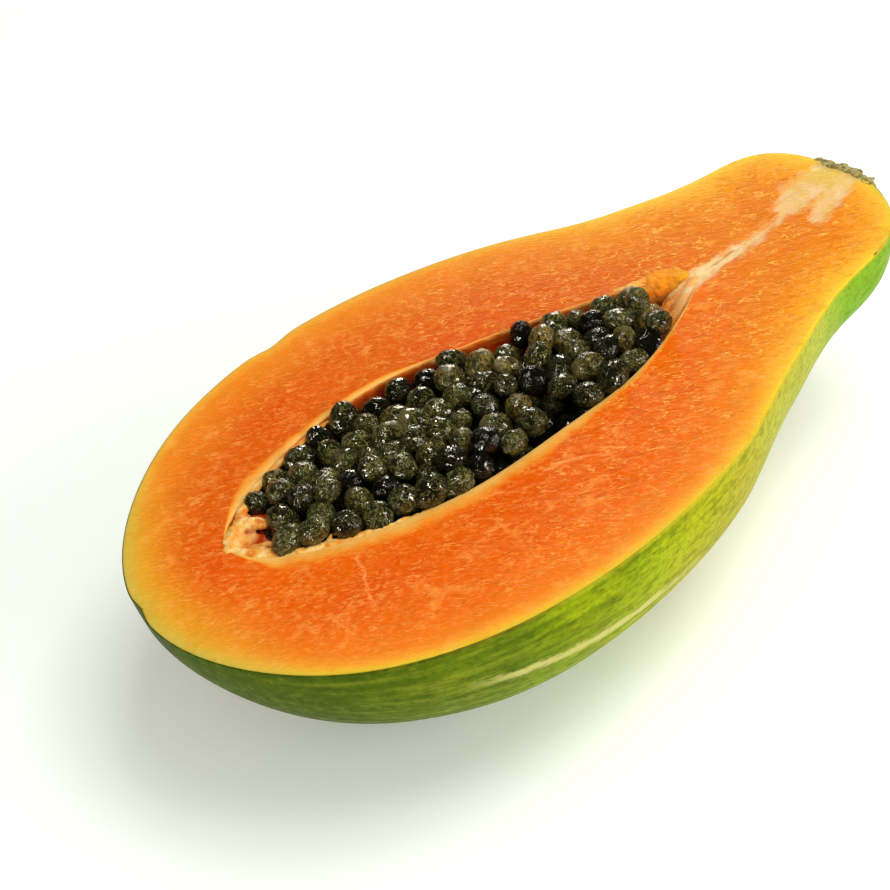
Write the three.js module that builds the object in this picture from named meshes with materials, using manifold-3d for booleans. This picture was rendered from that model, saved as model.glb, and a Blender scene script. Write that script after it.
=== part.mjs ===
// Half a ripe papaya, cut lengthwise, lying on its belly with its seeds in the open hollow.
// Millimetres, +Z up. The cut face is level and faces up, the blossom end points to -X and the
// stem end to +X. While it is being made, x runs from 0 at the blossom end along the fruit's
// straight axis, and the cut face is at z = 0.
import * as THREE from 'three';
import { mergeVertices } from 'three/addons/utils/BufferGeometryUtils.js';
import Module from 'manifold-3d';

// The whole half
const fruitLength = 200;
const fullness = [66, 68, 66, 62.5, 58, 52.1, 43.5, 43.5, 66]; // radius before the ends round it off
const blossomRoundness = 0.88; // depth below the cut face over half width, at the blossom end
const neckRoundness = 1.04; // the same at the stem end
const neckBend = 7.5; // the neck leans this far toward +Y
const neckBendStart = 125;
const endSlant = 1.8; // the neck ends this much further out on its -Y side
const endSlantStart = 165;
const flatSpotHeight = 0.9; // taken off the lowest point of the belly, where it rests

// Blossom dimple and stem scar
const dimpleDepth = 2.2;
const dimpleRadius = 4;
const scarRadius = 9.5;
const scarThickness = 6;
const scarRise = 0.9; // how far the scar stands out of the neck
const scarRaggedness = 0.9;

// Seed hollow, measured at the cut face
const hollowStart = 24;
const hollowLength = 125;
const hollowFullness = [20, 22.8, 23.3, 20.2, 18, 13];
const hollowLean = [3, 4, 3.7, 2.4, 1.2, 3]; // how far its middle line lies toward +Y
const hollowRoundness = 1.05; // depth over half width
const hollowMouth = 16; // the cutting shape rises this far above the cut face

// Seeds
const seedsStart = 35.5;
const seedsEnd = 134.5;
const seedRadius = 3.2;
const seedSpacing = 6.1; // between the middles of neighbours
const seedGap = 0.4; // clear space between the seeds and the flesh
const seedCount = 86;
const seedLevel = -1.6; // middle of a seed beside the rim, from the cut face
const seedMound = 2.2; // how much higher the seeds lie along the middle line
const seedSlope = 1.6; // the blossom end's seeds lie this much lower at the +Y rim
const seedUnevenness = 1.3;
const coreDrop = 1.2; // the core lies this far below the middles of the seeds
const settlingRounds = 120;
const settlingSpread = 0.5;
const settlingPush = 0.3;
const settlingPull = 0.15;
const seedDraw = 20;

const wasm = await Module();
wasm.setup();

// A smooth curve through evenly spaced values, read at t from 0 to 1.
function curveThrough(values, t) {
  const last = values.length - 1;
  const place = THREE.MathUtils.clamp(t, 0, 1) * last;
  const i = Math.min(Math.floor(place), last - 1);
  const before = i > 0 ? values[i - 1] : 2 * values[0] - values[1];
  const after = i < last - 1 ? values[i + 2] : 2 * values[last] - values[last - 1];
  const slopeIn = (values[i + 1] - before) / 2;
  const slopeOut = (after - values[i]) / 2;
  const f = place - i;
  const rise = values[i + 1] - values[i];
  return values[i] + f * slopeIn + f * f * (3 * rise - 2 * slopeIn - slopeOut)
    + f * f * f * (slopeIn + slopeOut - 2 * rise);
}

// Draws evenly spread numbers from 0 to 1, the same ones on every run.
function randomSource(start) {
  let state = start;
  return () => {
    state = (state * 1664525 + 1013904223) % 4294967296;
    return state / 4294967296;
  };
}

function toSolid(geometry) {
  const bare = geometry.clone();
  bare.deleteAttribute('normal');
  bare.deleteAttribute('uv');
  const merged = mergeVertices(bare, 1e-4);
  return new wasm.Manifold(new wasm.Mesh({
    numProp: 3,
    vertProperties: new Float32Array(merged.attributes.position.array),
    triVerts: new Uint32Array(merged.index.array),
  }));
}

function toGeometry(solid) {
  const mesh = solid.getMesh();
  const geometry = new THREE.BufferGeometry();
  geometry.setAttribute('position', new THREE.BufferAttribute(mesh.vertProperties, 3));
  geometry.setIndex(new THREE.BufferAttribute(mesh.triVerts, 1));
  const flat = geometry.toNonIndexed();
  flat.computeVertexNormals();
  return flat;
}

// A ball with its poles on the X axis, each point moved by the given rule.
function moulded(sides, stations, rule) {
  const ball = new THREE.SphereGeometry(1, sides, stations);
  ball.rotateZ(Math.PI / 2);
  const point = new THREE.Vector3();
  const spots = ball.attributes.position;
  for (let i = 0; i < spots.count; i += 1) {
    point.fromBufferAttribute(spots, i);
    rule(point);
    spots.setXYZ(i, point.x, point.y, point.z);
  }
  return toSolid(ball);
}

function block(fromX, toX, fromY, toY, fromZ, toZ) {
  const box = new THREE.BoxGeometry(toX - fromX, toY - fromY, toZ - fromZ);
  box.translate((fromX + toX) / 2, (fromY + toY) / 2, (fromZ + toZ) / 2);
  return toSolid(box);
}

function axisOffset(x) {
  return neckBend * THREE.MathUtils.smoothstep(x, neckBendStart, fruitLength);
}

// How much further out than a square end a place near the stem lies.
function endShift(x, y) {
  const share = THREE.MathUtils.smoothstep(x, endSlantStart, fruitLength);
  return endSlant * share * (1 - THREE.MathUtils.smoothstep(y, 8, 18));
}

function wholeFruit() {
  return moulded(56, 60, (point) => {
    const along = (1 + point.x) / 2;
    const radius = curveThrough(fullness, along);
    point.x = along * fruitLength;
    point.y = axisOffset(point.x) + point.y * radius;
    point.z *= radius * THREE.MathUtils.lerp(blossomRoundness, neckRoundness, along);
    point.x += endShift(point.x, point.y);
  });
}

// The room inside the seed hollow, drawn in by a gap all round.
function hollow(gap) {
  return moulded(32, 36, (point) => {
    const along = (1 + point.x) / 2;
    const radius = curveThrough(hollowFullness, along) - gap;
    point.x = hollowStart + gap + along * (hollowLength - 2 * gap);
    point.y = hollowMiddle(point.x) + point.y * radius;
    point.z *= point.z > 0 ? hollowMouth : radius * hollowRoundness;
  });
}

function hollowMiddle(x) {
  return curveThrough(hollowLean, (x - hollowStart) / hollowLength);
}

function hollowHalfWidth(x) {
  const along = THREE.MathUtils.clamp((x - hollowStart) / hollowLength, 0, 1);
  return 2 * Math.sqrt(along * (1 - along)) * curveThrough(hollowFullness, along);
}

// A disc with a torn edge at the end of the neck, where the stalk broke off.
function stemScar() {
  const disc = new THREE.CylinderGeometry(scarRadius, scarRadius, scarThickness, 22);
  disc.rotateZ(Math.PI / 2);
  const spots = disc.attributes.position;
  for (let i = 0; i < spots.count; i += 1) {
    const angle = Math.atan2(spots.getZ(i), spots.getY(i));
    const out = Math.hypot(spots.getY(i), spots.getZ(i));
    const torn = scarRaggedness * (Math.sin(5 * angle + 1) + 0.6 * Math.sin(9 * angle));
    const grown = out > 1 ? 1 + torn / out : 1;
    spots.setY(i, spots.getY(i) * grown);
    spots.setZ(i, spots.getZ(i) * grown);
  }
  disc.translate(fruitLength + scarRise - scarThickness / 2, axisOffset(fruitLength), 0);
  for (let i = 0; i < spots.count; i += 1) {
    spots.setX(i, spots.getX(i) + endShift(fruitLength, spots.getY(i)));
  }
  return toSolid(disc);
}

function blossomDimple() {
  const pit = new THREE.SphereGeometry(1, 16, 10);
  pit.scale(dimpleDepth, dimpleRadius, dimpleRadius);
  return toSolid(pit);
}

// Everything above the cut face is taken away, and the belly's lowest point is made flat.
function restingHalf(depth) {
  const reach = fruitLength;
  return block(-reach, 2 * reach, -reach, reach, flatSpotHeight - depth, 0);
}

function fruit() {
  const whole = wholeFruit();
  const depth = -whole.boundingBox().min[2];
  const half = whole.add(stemScar()).subtract(blossomDimple()).intersect(restingHalf(depth));
  return half.subtract(hollow(0));
}

// Height of the middle of a seed: a low mound along the middle of the hollow.
function seedBed(x, y) {
  const across = (y - hollowMiddle(x)) / hollowHalfWidth(x);
  const slope = seedSlope * (1 - THREE.MathUtils.smoothstep(x, 80, 110));
  return seedLevel + seedMound * (1 - across * across) - slope * across;
}

// The nearest place to a seed's middle where the whole seed is clear of the flesh.
function keptInHollow(place) {
  const clear = seedRadius + seedGap;
  const x = THREE.MathUtils.clamp(place.x, seedsStart, seedsEnd);
  const side = place.y - hollowMiddle(x);
  const halfWidth = hollowHalfWidth(x) - clear;
  const depth = hollowHalfWidth(x) * hollowRoundness - clear;
  const past = Math.max(1, Math.hypot(side / halfWidth, Math.min(place.z, 0) / depth));
  return place.set(x, hollowMiddle(x) + side / past, place.z < 0 ? place.z / past : place.z);
}

// Seeds dropped at random over the hollow, each with the amount that it sinks below the mound.
function scatteredSeeds(random) {
  const widest = Math.max(...hollowFullness);
  const seeds = [];
  while (seeds.length < seedCount) {
    const x = THREE.MathUtils.lerp(seedsStart, seedsEnd, random());
    const side = (2 * random() - 1) * widest;
    if (Math.abs(side) < hollowHalfWidth(x) - seedRadius) {
      const sunk = (2 * random() - 1) * seedUnevenness;
      seeds.push({ place: new THREE.Vector3(x, hollowMiddle(x) + side, 0), sunk });
    }
  }
  return seeds;
}

// Where one seed goes next: away from any seed within reach, and back toward its own height.
function settledOnce({ place, sunk }, seeds, reach) {
  const next = place.clone();
  seeds.forEach((other) => {
    const distance = place.distanceTo(other.place);
    if (distance > 0 && distance < reach) {
      const apart = new THREE.Vector3().subVectors(place, other.place);
      next.addScaledVector(apart, settlingPush * (reach / distance - 1));
    }
  });
  next.z += settlingPull * (seedBed(place.x, place.y) - sunk - place.z);
  return { place: keptInHollow(next), sunk };
}

// The seeds spread out evenly at first, while their reach is wider, and then come to rest.
function settledSeeds(random) {
  let seeds = scatteredSeeds(random);
  for (let round = 0; round < settlingRounds; round += 1) {
    const spread = Math.max(0, 1 - 2 * round / settlingRounds);
    const reach = seedSpacing * (1 + settlingSpread * spread);
    seeds = seeds.map((one) => settledOnce(one, seeds, reach));
  }
  return seeds.map((one) => one.place);
}

function seed(place, random) {
  const shape = new THREE.SphereGeometry(seedRadius, 7, 5);
  shape.scale(1.05 + 0.2 * random(), 0.95 + 0.1 * random(), 0.85 + 0.1 * random());
  shape.rotateY((random() - 0.5) * Math.PI / 2);
  shape.rotateZ(random() * Math.PI);
  shape.translate(place.x, place.y, place.z);
  return toSolid(shape);
}

// The seeds lie on a smaller core that fills the hollow below them.
function seedCore() {
  const top = seedLevel - coreDrop;
  return moulded(10, 12, (point) => {
    const along = (1 + point.x) / 2;
    const radius = curveThrough(hollowFullness, along) - 3 * seedGap;
    point.x = seedsStart + along * (seedsEnd - seedsStart);
    point.y = hollowMiddle(point.x) + point.y * radius;
    point.z = top + point.z * (point.z > 0 ? seedMound : radius * hollowRoundness + top);
  });
}

function seeds() {
  const random = randomSource(seedDraw);
  const pieces = settledSeeds(random).map((place) => seed(place, random));
  const mass = pieces.reduce((sum, piece) => sum.add(piece), seedCore());
  const bodies = mass.intersect(hollow(seedGap)).decompose();
  return bodies.reduce((best, body) => (body.volume() > best.volume() ? body : best));
}

function named(name, solid, material) {
  const mesh = new THREE.Mesh(toGeometry(solid), material);
  mesh.name = name;
  return mesh;
}

const fleshMaterial = new THREE.MeshStandardMaterial({ color: 0xf47a22, roughness: 0.4, metalness: 0 });
const seedMaterial = new THREE.MeshStandardMaterial({ color: 0x24261c, roughness: 0.15, metalness: 0 });

// The part stands on its flat spot, with the middle of that side of its box at the origin.
const papaya = new THREE.Group();
papaya.add(named('fruit', fruit(), fleshMaterial));
papaya.add(named('seeds', seeds(), seedMaterial));
const box = new THREE.Box3().setFromObject(papaya);
papaya.position.set(-(box.min.x + box.max.x) / 2, -(box.min.y + box.max.y) / 2, -box.min.z);

export default papaya;
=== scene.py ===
import math
from functools import partial

import bmesh
import bpy
import numpy as np
from mathutils import Matrix, Vector, noise


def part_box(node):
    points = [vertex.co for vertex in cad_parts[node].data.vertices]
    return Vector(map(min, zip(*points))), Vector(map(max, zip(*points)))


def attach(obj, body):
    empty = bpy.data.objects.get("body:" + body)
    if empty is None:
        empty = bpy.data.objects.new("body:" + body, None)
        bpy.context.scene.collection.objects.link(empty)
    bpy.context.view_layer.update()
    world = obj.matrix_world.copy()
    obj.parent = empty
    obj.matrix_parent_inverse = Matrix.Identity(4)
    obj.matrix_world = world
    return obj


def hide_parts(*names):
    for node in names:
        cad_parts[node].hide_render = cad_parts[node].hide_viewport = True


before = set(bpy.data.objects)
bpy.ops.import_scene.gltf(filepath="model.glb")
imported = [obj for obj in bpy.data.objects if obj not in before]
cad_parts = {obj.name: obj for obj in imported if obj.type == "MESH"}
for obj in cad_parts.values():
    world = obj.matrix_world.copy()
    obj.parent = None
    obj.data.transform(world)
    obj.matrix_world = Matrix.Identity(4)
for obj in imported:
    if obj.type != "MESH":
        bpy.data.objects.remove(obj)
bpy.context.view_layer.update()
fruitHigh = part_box("fruit")[1]
print("frame loaded")

# Sizes below are in millimetres. X runs from the blossom end to the stem, Y across, and the cut
# face is at height 0. toPart() turns such a place into the part's own frame in metres.
tipX = -101.447
cutHeight = fruitHigh.z * 1000


def toPart(points):
    return (np.asarray(points, float) + (tipX, 0.0, cutHeight)) / 1000


def toLinear(colour):  # "#rrggbb" as it looks, to the numbers a shader wants
    parts = [int(colour[i:i + 2], 16) / 255 for i in (1, 3, 5)]
    return [p / 12.92 if p <= 0.04045 else ((p + 0.055) / 1.055) ** 2.4 for p in parts] + [1.0]


smooth = {"interpolation_type": "SMOOTHSTEP"}  # for a Map Range that eases in and out
usualSettings = {"Mix": {"data_type": "RGBA"}, "Math": {"operation": "MULTIPLY"}}


def setInput(tree, socket, value):  # a number, a colour, a socket, or a node for its output
    if isinstance(value, bpy.types.Node):
        value = next(s for s in value.outputs if s.enabled)
    if isinstance(value, bpy.types.NodeSocket):
        tree.links.new(value, socket)
    else:
        socket.default_value = toLinear(value) if str(value)[:1] == "#" else value


# Adds a node; a kind without "Node" in it is a shader node, and its operation may follow it.
# Inputs go by name, or in order, which for a noise is place, scale, detail, roughness, lacunarity,
# distortion. Stops fill a colour ramp.
def addNode(tree, kind, inputs=(), stops=(), **settings):
    kind, *operation = kind.split()
    node = tree.nodes.new(kind if "Node" in kind else "ShaderNode" + kind)
    settings.update(("operation", name) for name in operation)
    for name, value in {**usualSettings.get(kind, {}), **settings}.items():
        setattr(node, name, value)
    free = [s for s in node.inputs if s.enabled]
    if isinstance(inputs, dict):
        pairs = [(next(s for s in free if s.name == name), v) for name, v in inputs.items()]
    else:
        pairs = list(zip(free, inputs))
    for socket, value in pairs:
        setInput(tree, socket, value)
    for i, (place, colour) in enumerate(stops):
        ramp = node.color_ramp.elements
        stop = ramp[i] if i < 2 else ramp.new(place)
        stop.position, stop.color = place, toLinear(colour)
    return node


# Multiplies shares with each other. A tuple stands for a Map Range with those inputs, and ends
# with `smooth` where it eases in and out.
def product(add, *shares):
    result = None
    for share in shares:
        if isinstance(share, tuple):
            eased = share[-1] is smooth
            share = add("MapRange", share[:-1] if eased else share, **(smooth if eased else {}))
        result = share if result is None else add("Math", [result, share])
    return result


# Lays tones over a colour, each with the shares whose product says how much of it shows.
def layTones(add, colour, layers):
    for tone, *shares in layers:
        colour = add("Mix", [product(add, *shares), colour, tone])
    return colour


# A new material's way to add nodes, its way to be finished, and its Object coordinates in mm.
def startMaterial(name):
    material = bpy.data.materials.new(name)
    material.use_nodes = True
    add = partial(addNode, material.node_tree)
    place = add("TexCoord").outputs["Object"]
    inMm = add("Mapping", {"Vector": place, "Scale": (1000, 1000, 1000)})
    return add, partial(finishMaterial, material), inMm


# Links or sets the shader's sockets; only patterns are linked, and even values are set.
def finishMaterial(material, values):
    tree = material.node_tree
    for name, value in values.items():
        setInput(tree, tree.nodes["Principled BSDF"].inputs[name], value)
    return material


def placeObject(name, data):
    thing = bpy.data.objects.new(name, data)
    bpy.context.scene.collection.objects.link(thing)
    return thing


def smoothStep(value, low, high):
    t = np.clip((np.asarray(value, float) - low) / (high - low), 0, 1)
    return t * t * (3 - 2 * t)


# A smooth curve through evenly spaced values, for a place from 0 to 1 along them.
def curveThrough(values, place):
    spread = np.array([2 * values[0] - values[1], *values, 2 * values[-1] - values[-2]])
    steps = np.clip(np.asarray(place, float), 0, 1) * (len(values) - 1)
    i = np.minimum(steps.astype(int), len(values) - 2)
    f = steps - i
    before, here, after, later = spread[i], spread[i + 1], spread[i + 2], spread[i + 3]
    slopeIn, slopeOut, rise = (after - before) / 2, (later - here) / 2, after - here
    return (here + f * slopeIn + f * f * (3 * rise - 2 * slopeIn - slopeOut)
            + f ** 3 * (slopeIn + slopeOut - 2 * rise))


# Soft random waves, summed: each part has the distance between crests in mm, a shift, and a height.
def waves(points, *parts):
    return sum(height * np.array([noise.noise(Vector(p) / size + Vector((shift, shift, 0)))
                                  for p in points]) for size, shift, height in parts)


def linePlaces(line, points):  # signed distance from a drawn line, and how far along it
    best, side = np.full(len(points), 1e9), np.zeros(len(points))
    run, place = 0.0, np.zeros(len(points))
    for a, b in zip(line[:-1], line[1:]):
        a, step = np.array(a, float), np.array(b, float) - a
        long = np.hypot(*step)
        t = np.clip(((points - a) @ step) / long ** 2, 0, 1)
        far = np.hypot(*(points - a - t[:, None] * step).T)
        cross = step[0] * (points[:, 1] - a[1]) - step[1] * (points[:, 0] - a[0])
        near = far < best
        best, side = np.where(near, far, best), np.where(near, np.sign(cross), side)
        place = np.where(near, run + t * long, place)
        run += long
    return best * side, place


# Stores numbers or vectors on a mesh's points; a single number goes to all of them.
def setNumbers(mesh, numbers):
    for label, values in numbers.items():
        values = np.asarray(values, np.float32)
        if values.ndim == 0:
            values = np.full(len(mesh.vertices), values, np.float32)
        flat = values.ndim == 1
        field = mesh.attributes.new(label, "FLOAT" if flat else "FLOAT_VECTOR", "POINT")
        field.data.foreach_set("value" if flat else "vector", values.ravel())


def makePiece(name, points, faces, material, numbers):
    mesh = bpy.data.meshes.new(name)
    mesh.from_pydata(toPart(points).tolist(), [], faces)
    setNumbers(mesh, numbers)
    mesh.polygons.foreach_set("use_smooth", [True] * len(mesh.polygons))
    mesh.materials.append(material)
    mesh.update()
    return placeObject(name, mesh)


shot = {
    "eye": (-0.12148, -0.30438, 0.33966),
    "right": (0.84253, -0.48740, -0.22934),
    "down": (-0.48790, -0.51010, -0.70834),
    "lens": 76.85,
}
studio = {
    "floorColour": "#fcfcfa", "floorGlow": 0.09, "floorSize": 16, "skyStrength": 0.52,
    "skyColour": (0.92, 1, 0.87),  # its green shows in the shade alone
    "sparkColour": (1, 0.95, 0.8),
    "lamps": {  # place, width and height in metres, power in watts, and whether it lights
        # matt surfaces or only shows in wet and waxy ones
        "above": ((0.68, -0.45, 1.7), 0.9, 0.9, 17.4, True),
        "front": ((1.05, -1.5, 0.8), 1.6, 0.8, 22, True),
        "side": ((-1.5, -0.7, 0.8), 1, 0.9, 2.4, True),
        "right": ((1.15, -1.3, 0.75), 0.2, 0.7, 25, False),
        "left": ((-1.3, -0.45, 0.4), 0.18, 0.18, 10, False),
        "behind": ((0.85, 1.5, 0.4), 0.5, 0.12, 12, False),
        "top": ((-0.25, 0.25, 1.5), 0.16, 0.16, 9, False),
    },
}


def placeCamera():
    camera = placeObject("camera", bpy.data.cameras.new("camera"))
    right, down = Vector(shot["right"]), Vector(shot["down"])
    turn = Matrix((right, -down, -right.cross(down))).transposed()
    camera.matrix_world = Matrix.Translation(shot["eye"]) @ turn.to_4x4()
    camera.data.lens, camera.data.sensor_width = shot["lens"], 36
    camera.data.clip_start = 0.01
    bpy.context.scene.camera = camera


def setStudio():
    half = studio["floorSize"] / 2
    mesh = bpy.data.meshes.new("floor")
    mesh.from_pydata([(-half, -half, 0), (half, -half, 0), (half, half, 0), (-half, half, 0)],
                     [], [(0, 1, 2, 3)])
    floor = placeObject("floor", mesh)
    _, finish, _ = startMaterial("mattPaperSweep")  # plain paper, without any shine
    mesh.materials.append(finish({
        "Base Color": studio["floorColour"], "Roughness": 0.9,
        "Specular IOR Level": 0, "Emission Color": (1, 1, 1, 1),
        "Emission Strength": studio["floorGlow"]}))
    for name, (place, wide, high, power, matt) in studio["lamps"].items():
        lamp = bpy.data.lights.new(name, "AREA")
        lamp.shape, lamp.size, lamp.size_y, lamp.energy = "RECTANGLE", wide, high, power
        holder = placeObject(name, lamp)
        holder.location = place
        holder.rotation_euler = (-Vector(place)).to_track_quat("-Z", "Y").to_euler()
        holder.visible_diffuse, holder.visible_glossy = matt, not matt
        if not matt:
            lamp.color = studio["sparkColour"]
    world = bpy.data.worlds.new("softWhite")
    world.use_nodes = True
    sky = world.node_tree.nodes["Background"]
    sky.inputs["Color"].default_value = (*studio["skyColour"], 1)
    sky.inputs["Strength"].default_value = studio["skyStrength"]
    world.cycles_visibility.glossy = False
    bpy.context.scene.world = world
    bpy.context.scene.view_settings.view_transform = "Standard"


placeCamera()
setStudio()
print("camera, floor and light set")

fruitForm = {
    "start": 0, "length": 200,
    "fullness": [66, 68, 66, 62.5, 58, 52.1, 43.5, 43.5, 66],  # even steps, blossom end to stem
    "blossomRoundness": 0.88,  # depth over width
    "neckRoundness": 1.04, "neckBend": 7.5, "neckBendStart": 125,
    "endSlant": 1.8,  # the neck ends this much further out on its near side
    "endSlantStart": 165,
    "slantFade": (8, 18),  # where across the neck the slant ends
    "dimpleDepth": 0.8, "dimpleRadius": 3.6, "skinThickness": 0.45,
    "nickAt": 62,  # a small dent in the far edge
    "nickDepth": 1.3, "nickLength": 4.5, "nickHeight": 6,
}
hollowForm = {
    "start": 24, "length": 125,
    "fullness": [20, 22.8, 23.3, 20.2, 18, 13],
    "lean": [3, 4, 3.7, 2.4, 1.2, 3],
    "roundness": 1.05,
}


def axisOffset(x):
    return fruitForm["neckBend"] * smoothStep(x, fruitForm["neckBendStart"], fruitForm["length"])


def halfWidth(x, form=fruitForm):
    along = np.clip((np.asarray(x, float) - form["start"]) / form["length"], 0, 1)
    return 2 * np.sqrt(along * (1 - along)) * curveThrough(form["fullness"], along)


def slanted(x, y):
    share = smoothStep(x, fruitForm["endSlantStart"], fruitForm["length"])
    return x + fruitForm["endSlant"] * share * (1 - smoothStep(y, *fruitForm["slantFade"]))


def roundness(x):
    along = np.asarray(x, float) / fruitForm["length"]
    return fruitForm["blossomRoundness"] * (1 - along) + fruitForm["neckRoundness"] * along


def hollowMiddle(x):
    return curveThrough(hollowForm["lean"], (x - hollowForm["start"]) / hollowForm["length"])


def dent(x, y, z):  # how far the outside is pressed in: the nick in the far edge
    form = fruitForm
    near = np.exp(-((x - form["nickAt"]) / form["nickLength"]) ** 2 - (z / form["nickHeight"]) ** 2)
    return np.where(y > axisOffset(x), form["nickDepth"] * near, 0)


def dimpled(x, y, z):  # the small soft pit at the blossom end
    pit = fruitForm["dimpleDepth"] * np.exp(-(y * y + z * z) / fruitForm["dimpleRadius"] ** 2)
    return x + np.where(x < hollowForm["start"] - 4, pit, 0)


# The flesh is one closed body: hollow, cut face, and the rest under the skin. The bands are the
# pale lining that shows round the hollow, with where they fade in and out along the fruit.
fleshForm = {
    "middle": (85.0, 3.0),  # every ring of points goes round this spot
    "around": 640, "hollowRings": 30, "faceRings": 84,
    "ringBunching": 0.72,  # how much closer the rings are near both edges of the cut face
    "bellyRings": 14,
    "bellyShare": 0.985,  # keeps the flesh just inside the skin
    "nearBand": {"width": 5.2, "drop": 0.5, "begins": (24, 32), "ends": (112, 146),
                 "change": (0.55, 70, 120)},  # the share of its width that goes, from and to
    "farBand": {"width": 1.3, "drop": 0.5, "begins": (24, 34), "ends": (72, 96),
                "change": (1.4, 36, 60)},  # how much wider it is up to there, and where that ends
    "bandWaves": [(8, 0, 0.45), (2.6, 5, 0.3)], "edgeRound": 0.9, "edgeDrop": 0.3,
    "waveHeight": 0.2, "faceWaves": [(12, 3, 1), (3.6, 9, 0.5)], "coreDrop": 0.25,
    "liningRoughness": 0.5, "liningWaves": [(3.4, 2, 1), (1.5, 4, 0.5)],
}
paleLines = {  # pale parts of the core that runs to the stem: line, half width at both ends
    "strand": ([(146.5, 2.6), (151, 3.2), (157, 3.7), (164, 4.4), (171, 5.2), (178, 6.6),
                (183, 9)], (3, 0.3)),
    "upperLobe": ([(183, 9), (187, 11.4), (192, 11.6), (199.6, 11.4)], (3.8, 5.8)),
    "lowerLobe": ([(184.2, 0.2), (187.6, 2), (191.4, 4.4), (197.5, 7.4)], (2.2, 3.6)),
}
veinLines = [  # thin pale veins in the walls
    [(68.6, -20), (74.6, -22.8), (81.7, -27), (85.7, -28.7), (88.9, -29.9)],
    [(89.3, -26.3), (95.2, -27.3), (98.7, -28.9), (102.2, -31.9), (103.5, -35.9)],
    [(45.1, -20.3), (44.2, -22.9), (42.9, -27.8), (42, -32.5)],
]
redZones = [  # redder flesh: its middle, and its reach along and across
    (50, 35, 10, 7), (44, -30, 17, 6), (80, -28, 14, 6), (97, 27, 12, 6), (20, 0, 5, 9)]


def closedLine(form, middle, count=2400):
    turn = np.linspace(0, 2 * math.pi, count, endpoint=False)
    x = form["start"] + form["length"] * (1 - np.cos(turn)) / 2
    return np.c_[x, middle(x) + np.sin(turn) * curveThrough(
        form["fullness"], (x - form["start"]) / form["length"])]


def movedIn(outline, depth):
    along = np.roll(outline, -1, 0) - np.roll(outline, 1, 0)
    along /= np.maximum(np.hypot(*along.T), 1e-9)[:, None]
    inward = np.c_[along[:, 1], -along[:, 0]]  # the outline runs clockwise seen from above
    return outline + inward * np.reshape(depth, (-1, 1))


def reachAt(outline, angles):
    arm = outline - fleshForm["middle"]
    around = np.arctan2(arm[:, 1], arm[:, 0])
    order = np.argsort(around)
    return np.interp(angles, around[order], np.hypot(*arm.T)[order], period=2 * math.pi)


def nearest(points, outline, parts=120):  # distances, worked out in parts to save memory
    return np.concatenate([np.sqrt(((part[:, None] - outline[None]) ** 2).sum(2).min(1))
                           for part in np.array_split(points, parts)])


def paleDistance(points):
    best = np.full(len(points), 1e9)
    for line, (first, last) in paleLines.values():
        off, place = linePlaces(line, points)
        total = sum(math.dist(a, b) for a, b in zip(line[:-1], line[1:]))
        best = np.minimum(best, np.abs(off) - (first + (last - first) * place / total))
    return best


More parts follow.
